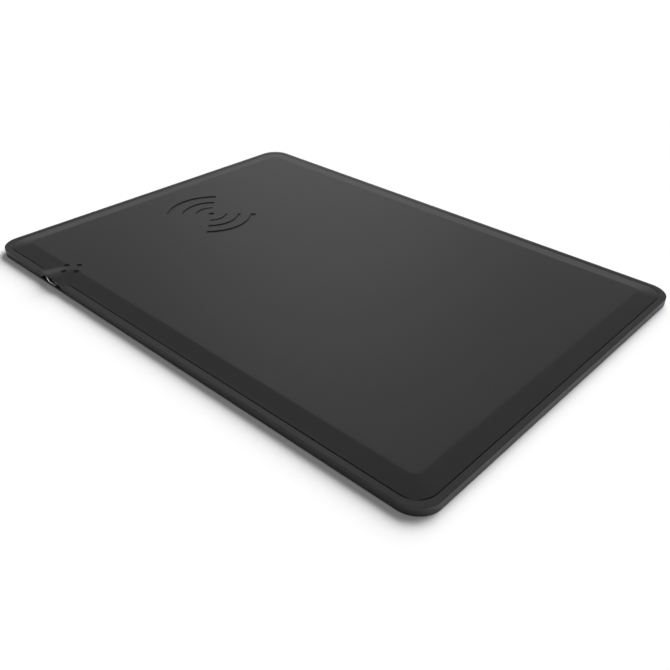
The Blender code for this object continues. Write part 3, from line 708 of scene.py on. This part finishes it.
def make_tray(material):
    """The wall, its flat ledge, the groove beside the top cover's edge, the step under it and the floor."""
    groove_inset = COVER_EDGE - GROOVE_GAP
    rings = [
        flat_ring(MAT_INSET - MAT_SIDE_GAP, MAT_RECESS_TOP),
        flat_ring(MAT_INSET - MAT_SIDE_GAP, TRAY_LOW.z),
        *rounded_foot(0.0, TRAY_LOW.z, FOOT_RADIUS),
        flat_ring(0.0, TRAY_LOW.z + FOOT_RADIUS + FLAT_MARGIN),
        flat_ring(0.0, RIM_TOP - BRIM_RADIUS - FLAT_MARGIN),
        *rounded_brim(0.0, RIM_TOP, BRIM_RADIUS),
        flat_ring(BRIM_RADIUS + FLAT_MARGIN, RIM_TOP),
        flat_ring(LEDGE_WIDTH - LEDGE_BREAK, RIM_TOP),
        flat_ring(LEDGE_WIDTH, RIM_TOP - LEDGE_BREAK),
        flat_ring(groove_inset, RIM_TOP - LEDGE_BREAK),
        flat_ring(groove_inset, STEP_TOP),
        flat_ring(STEP_INSET, STEP_TOP),
        flat_ring(STEP_INSET, FLOOR_TOP),
    ]
    tray = loft("bottom_cover_tray", rings, material)
    notch_half_width = HOOD_HALF_WIDTH + HOOD_NOTCH_GAP
    notch_low = (SOCKET_X - notch_half_width, front(-OVERCUT), RECESS_FLOOR)
    notch_high = (SOCKET_X + notch_half_width, front(RECESS_DEPTH), RIM_TOP + OVERCUT)
    tools = tray_ribs() + tray_bosses()
    tools.append(("DIFFERENCE", box_between("notch", notch_low, notch_high)))
    tools.append(("DIFFERENCE", socket_room(SHELL_HIGH.y + SHELL_CLEARANCE)))
    apply_booleans(tray, tools)
    smooth(tray)
    finish_piece(tray, "bottom_cover")


def tray_ribs():
    """The grid that holds the top cover up, and the ring that centres the coil."""
    low_z = FLOOR_TOP - ROOT
    top = TRAY_HIGH.z
    tools = []
    for x in RIB_COLUMNS:
        low = (x - RIB_HALF_WIDTH, -RIB_REACH, low_z)
        high = (x + RIB_HALF_WIDTH, RIB_REACH, top)
        tools.append(("UNION", box_between("rib", low, high)))
    for y in RIB_ROWS:
        low = (RIB_COLUMNS[0], y - RIB_HALF_WIDTH, low_z)
        high = (RIB_COLUMNS[-1], y + RIB_HALF_WIDTH, top - RIB_ROW_DROP)
        tools.append(("UNION", box_between("rib", low, high)))
    levels = [(COIL_RING_INNER, COIL_RING_OUTER, 0.0, z) for z in (low_z, top)]
    half_angle = math.pi - math.asin(COIL_RING_HALF_GAP / COIL_RING_OUTER)
    ring = band_sector("coil_ring", levels, math.pi / 2, half_angle, (COIL.x, COIL.y), COIL_RING_STEPS)
    tools.append(("UNION", ring))
    return tools


def tray_bosses():
    tools = []
    for place in screw_places("cover_screw", 6):
        pad = [(SCREW_PAD_RADIUS, FLOOR_TOP - ROOT), (SCREW_PAD_RADIUS, STEP_TOP)]
        bore = [(SCREW_HEAD_HOLE_RADIUS, z) for z in (TRAY_LOW.z, SCREW_SEAT_Z)]
        bore += [(SCREW_HOLE_RADIUS, z) for z in (SCREW_SEAT_Z, STEP_TOP + OVERCUT)]
        tools.append(("UNION", round_solid("pad", pad, place)))
        tools.append(("DIFFERENCE", round_solid("bore", bore, place)))
    for place in screw_places("board_screw", 2):
        standoff = [(STANDOFF_RADIUS, FLOOR_TOP - ROOT), (STANDOFF_RADIUS, STANDOFF_TOP)]
        hole = [(STANDOFF_HOLE_RADIUS, z) for z in STANDOFF_HOLE_Z]
        tools.append(("UNION", round_solid("standoff", standoff, place)))
        tools.append(("DIFFERENCE", round_solid("hole", hole, place, SMALL_HOLE_STEPS)))
    return tools


def make_mat(material):
    rings = [
        *rounded_foot(MAT_INSET, MAT_LOW.z, MAT_FOOT_RADIUS),
        flat_ring(MAT_INSET, MAT_HIGH.z - MAT_TOP_BREAK),
        flat_ring(MAT_INSET + MAT_TOP_BREAK, MAT_HIGH.z),
    ]
    mat = loft("anti_slip_sheet", rings, material)
    smooth(mat)
    finish_piece(mat, "anti_slip_mat")


# ---------------------------------------------------------------- socket


def socket_corners(grow):
    """The opening's sharp corners as (x from its middle, z), with every side moved outward by grow."""
    top = SHELL_HIGH.z - SHELL_THICKNESS
    bottom = SHELL_LOW.z + SHELL_THICKNESS
    half_width = SHELL_HIGH.x - SOCKET_X - SHELL_THICKNESS
    shoulder = top - SOCKET_SIDE_HEIGHT
    slant = math.atan2(shoulder - bottom, half_width - SOCKET_BOTTOM_HALF_WIDTH)
    right = [
        Vector((half_width + grow, top + grow)),
        Vector((half_width + grow, shoulder - grow * math.tan((math.pi / 2 - slant) / 2))),
        Vector((SOCKET_BOTTOM_HALF_WIDTH + grow * math.tan(slant / 2), bottom - grow)),
    ]
    return right + [Vector((-corner.x, corner.y)) for corner in reversed(right)]


def socket_section(grow, y):
    """The socket's section at y with every side moved outward by grow and its corners rounded."""
    corners_2d = socket_corners(grow)
    radius = SOCKET_CORNER_RADIUS + grow
    points = []
    for index, corner in enumerate(corners_2d):
        before = (corners_2d[index - 1] - corner).normalized()
        after = (corners_2d[(index + 1) % len(corners_2d)] - corner).normalized()
        half = before.angle(after) / 2
        middle = corner + (before + after).normalized() * (radius / math.sin(half))
        start = corner + before * (radius / math.tan(half)) - middle
        end = corner + after * (radius / math.tan(half)) - middle
        sweep = start.angle_signed(end)
        for step in range(SOCKET_CORNER_STEPS + 1):
            turned = start.copy()
            turned.rotate(Matrix.Rotation(-sweep * step / SOCKET_CORNER_STEPS, 2))
            points.append(middle + turned)
    return [Vector((SOCKET_X + point.x, y, point.y)) for point in points]


def make_shell(material):
    """A drawn can whose mouth flares outward all round."""
    mouth = SHELL_LOW.y
    back = SHELL_HIGH.y
    rings = [socket_section(0.0, back - SHELL_THICKNESS)]
    for step in range(FLARE_STEPS + 1):
        angle = FLARE_ANGLE * step / FLARE_STEPS
        depth = FLARE_RADIUS * (math.sin(FLARE_ANGLE) - math.sin(angle))
        rings.append(socket_section(FLARE_RADIUS * (1.0 - math.cos(angle)), mouth + depth))
    rings += [
        socket_section(SHELL_THICKNESS, mouth + FLARE_LIP),
        socket_section(SHELL_THICKNESS, back - SHELL_BACK_BREAK),
        socket_section(SHELL_THICKNESS - SHELL_BACK_BREAK, back),
    ]
    shell = loft("usb_socket_can", rings, material)
    smooth(shell, angle=40.0)
    finish_piece(shell, "usb_socket_shell")


# ---------------------------------------------------------------- light guide


def make_light_guide(material):
    """A disc under the cover, with a domed pip in each window."""
    low = GUIDE_LOW.z
    radius = (GUIDE_HIGH.x - GUIDE_LOW.x) / 2
    disc = [
        (radius, low),
        (radius, low + GUIDE_THICKNESS - GUIDE_EDGE_BREAK),
        (radius - GUIDE_EDGE_BREAK, low + GUIDE_THICKNESS),
    ]
    guide = round_solid("light_guide_pips", disc, (WINDOWS.x, WINDOWS.y), steps=64, material=material)
    tools = []
    for x, y, cover_top in windows():
        top = cover_top - PIP_DEPTH
        profile = [(PIP_RADIUS, low + GUIDE_EDGE_BREAK)]
        profile += [(PIP_RADIUS * share, top - depth) for share, depth in PIP_DOME]
        tools.append(("UNION", round_solid("pip", profile, (x, y), steps=32)))
    apply_booleans(guide, tools)
    smooth(guide)
    finish_piece(guide, "light_guide")


# ---------------------------------------------------------------- materials


class Nodes:
    """A material being built: makes nodes and links them."""

    def __init__(self, name):
        self.material = bpy.data.materials.new(name)
        self.material.use_nodes = True
        self.tree = self.material.node_tree
        self.shader = self.tree.nodes["Principled BSDF"]
        self.place = self.tree.nodes.new("ShaderNodeTexCoord").outputs["Object"]

    def node(self, kind, inputs, **settings):
        made = self.tree.nodes.new(kind)
        for name, value in settings.items():
            setattr(made, name, value)
        for name, value in inputs.items():
            self.feed(made.inputs[name], value)
        return made

    def feed(self, socket, value):
        if isinstance(value, bpy.types.NodeSocket):
            self.tree.links.new(value, socket)
        else:
            socket.default_value = value

    def noise(self, size, detail=2.0, roughness=0.5):
        """Noise whose features are about size millimetres across."""
        scale = 1.0 / (size * MM)
        inputs = {"Vector": self.place, "Scale": scale, "Detail": detail, "Roughness": roughness}
        return self.node("ShaderNodeTexNoise", inputs).outputs["Fac"]

    def spread(self, value, low, high):
        """Maps a value of 0 to 1 onto low to high."""
        inputs = {"Value": value, "To Min": low, "To Max": high}
        return self.node("ShaderNodeMapRange", inputs).outputs["Result"]

    def between(self, value, low, high):
        """0 below low and 1 above high, or the other way round where low is the higher."""
        inputs = {"Value": value, "From Min": low, "From Max": high}
        return self.node("ShaderNodeMapRange", inputs).outputs["Result"]

    def times(self, first, second):
        return self.node("ShaderNodeMath", {0: first, 1: second}, operation="MULTIPLY").outputs["Value"]

    def colours(self, value, first, second):
        ramp = self.node("ShaderNodeValToRGB", {"Fac": value})
        ramp.color_ramp.elements[0].color = (*first, 1.0)
        ramp.color_ramp.elements[1].color = (*second, 1.0)
        return ramp.outputs["Color"]

    def bump(self, height, distance):
        """A bump of height, which is 0 to 1, over a distance in millimetres."""
        inputs = {"Height": height, "Distance": distance * MM, "Strength": 1.0}
        return self.node("ShaderNodeBump", inputs).outputs["Normal"]

    def up(self, vector):
        return self.node("ShaderNodeSeparateXYZ", {"Vector": vector}).outputs["Z"]

    def set(self, **values):
        for name, value in values.items():
            self.feed(self.shader.inputs[name.replace("_", " ")], value)


def grey(value):
    return (value, value, value)


def soft_black_plastic():
    """Moulded plastic with a fine soft-touch grain: a darker and lighter mottle, and uneven roughness.
    Tilted faces low down, such as the rim's broken edges, are rubbed smoother.
    """
    m = Nodes("soft_black_plastic")
    mottle = m.noise(size=9.0, detail=4.0, roughness=0.6)
    grain = m.noise(size=0.22, detail=2.0, roughness=0.6)
    tilt = m.up(m.node("ShaderNodeNewGeometry", {}).outputs["Normal"])
    not_upright = m.between(tilt, 0.25, 0.4)
    not_level = m.between(tilt, 0.96, 0.9)
    low_down = m.between(m.up(m.place), (RIM_TOP + 0.4) * MM, (RIM_TOP + 0.2) * MM)
    rubbed = m.times(m.times(not_upright, not_level), low_down)
    m.set(Base_Color=m.colours(mottle, grey(0.013), grey(0.0155)))
    m.set(Roughness=m.times(m.spread(grain, 0.46, 0.56), m.spread(rubbed, 1.0, 0.6)))
    m.set(Normal=m.bump(grain, distance=0.012))
    m.shader.inputs["Specular IOR Level"].default_value = 0.6
    return m.material


def mat_rubber():
    m = Nodes("mat_rubber")
    mottle = m.noise(size=14.0, detail=4.0)
    m.set(Base_Color=m.colours(mottle, grey(0.016), grey(0.024)), Roughness=m.spread(mottle, 0.78, 0.9))
    m.set(Normal=m.bump(m.noise(size=0.5, detail=3.0), distance=0.03))
    return m.material


def metal(name, dark, light, roughness, grain_size):
    """Plated or enamelled metal with a fine grain of grain_size millimetres."""
    m = Nodes(name)
    wear = m.noise(size=1.5, detail=4.0, roughness=0.6)
    grain = m.noise(grain_size)
    m.shader.inputs["Metallic"].default_value = 1.0
    m.set(Base_Color=m.colours(wear, dark, light), Roughness=m.spread(grain, *roughness))
    m.set(Normal=m.bump(grain, distance=0.002))
    return m.material


def plain(name, dark, light, roughness, mottle_size, relief):
    """A dull or glossy non-metal: a mottle of mottle_size and a finer bump of relief, in millimetres."""
    m = Nodes(name)
    mottle = m.noise(mottle_size, detail=4.0, roughness=0.6)
    m.set(Base_Color=m.colours(mottle, dark, light), Roughness=m.spread(mottle, *roughness))
    m.set(Normal=m.bump(m.noise(mottle_size / 4), distance=relief))
    return m.material


def nickel_steel():
    return metal("nickel_steel", grey(0.55), grey(0.68), roughness=(0.22, 0.34), grain_size=0.1)


def enamelled_copper():
    dark = (0.5, 0.19, 0.07)
    light = (0.76, 0.34, 0.15)
    return metal("enamelled_copper", dark, light, roughness=(0.25, 0.4), grain_size=0.15)


def gold_plate():
    dark = (0.72, 0.5, 0.18)
    light = (0.88, 0.66, 0.3)
    return metal("gold_plate", dark, light, roughness=(0.2, 0.3), grain_size=0.1)


def smoked_window():
    material = plain("smoked_window", grey(0.011), grey(0.015), (0.4, 0.5), mottle_size=0.6, relief=0.002)
    material.node_tree.nodes["Principled BSDF"].inputs["Specular IOR Level"].default_value = 0.2
    return material


def black_epoxy():
    return plain("black_epoxy", grey(0.014), grey(0.024), (0.42, 0.55), mottle_size=0.4, relief=0.006)


def ceramic():
    dark = (0.34, 0.23, 0.14)
    light = (0.46, 0.33, 0.22)
    return plain("ceramic", dark, light, (0.4, 0.55), mottle_size=0.5, relief=0.004)


def ferrite():
    return plain("ferrite", grey(0.035), grey(0.065), (0.5, 0.65), mottle_size=0.8, relief=0.01)


def foam():
    return plain("foam", grey(0.03), grey(0.09), (0.9, 1.0), mottle_size=0.5, relief=0.15)


def adhesive_film():
    dark = (0.7, 0.66, 0.55)
    light = (0.82, 0.79, 0.7)
    return plain("adhesive_film", dark, light, (0.35, 0.5), mottle_size=3.0, relief=0.005)


def circuit_board():
    dark = (0.012, 0.11, 0.05)
    light = (0.02, 0.17, 0.075)
    return plain("circuit_board", dark, light, (0.28, 0.4), mottle_size=1.2, relief=0.012)


def lamp_body():
    return plain("lamp_body", grey(0.72), grey(0.86), (0.35, 0.5), mottle_size=0.4, relief=0.003)


# ---------------------------------------------------------------- pieces and carried-over nodes


def finish_piece(piece, node):
    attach(piece, "root")
    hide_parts(node)


def numbered(stem, count):
    return [f"{stem}_{index}" for index in range(1, count + 1)]


def dress(nodes, material):
    for name in nodes:
        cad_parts[name].material_slots[0].material = material


def dress_inside(steel):
    """Better materials for the nodes under the covers, whose CAD shapes stay."""
    capacitors = numbered("resonance_capacitor", 4) + numbered("input_capacitor", 2)
    dress(["transmitter_coil", "coil_lead_inner", "coil_lead_outer"], enamelled_copper())
    dress(numbered("usb_contact", 5), gold_plate())
    dress(numbered("cover_screw", 6) + numbered("board_screw", 2), steel)
    dress(["controller_chip", "usb_socket_tongue", *numbered("bridge_transistor", 2)], black_epoxy())
    dress(["temperature_sensor", *capacitors], ceramic())
    dress(["ferrite_shield", "filter_inductor"], ferrite())
    dress(["coil_cushion_pad"], foam())
    dress(["coil_adhesive_film"], adhesive_film())
    dress(["main_board"], circuit_board())
    dress(numbered("indicator_lamp", 4), lamp_body())


def main():
    make_camera()
    make_lights()
    make_world()
    make_floor()

    plastic = soft_black_plastic()
    steel = nickel_steel()
    make_top_cover(plastic)
    make_tray(plastic)
    make_mat(mat_rubber())
    make_shell(steel)
    make_light_guide(smoked_window())
    dress_inside(steel)


main()
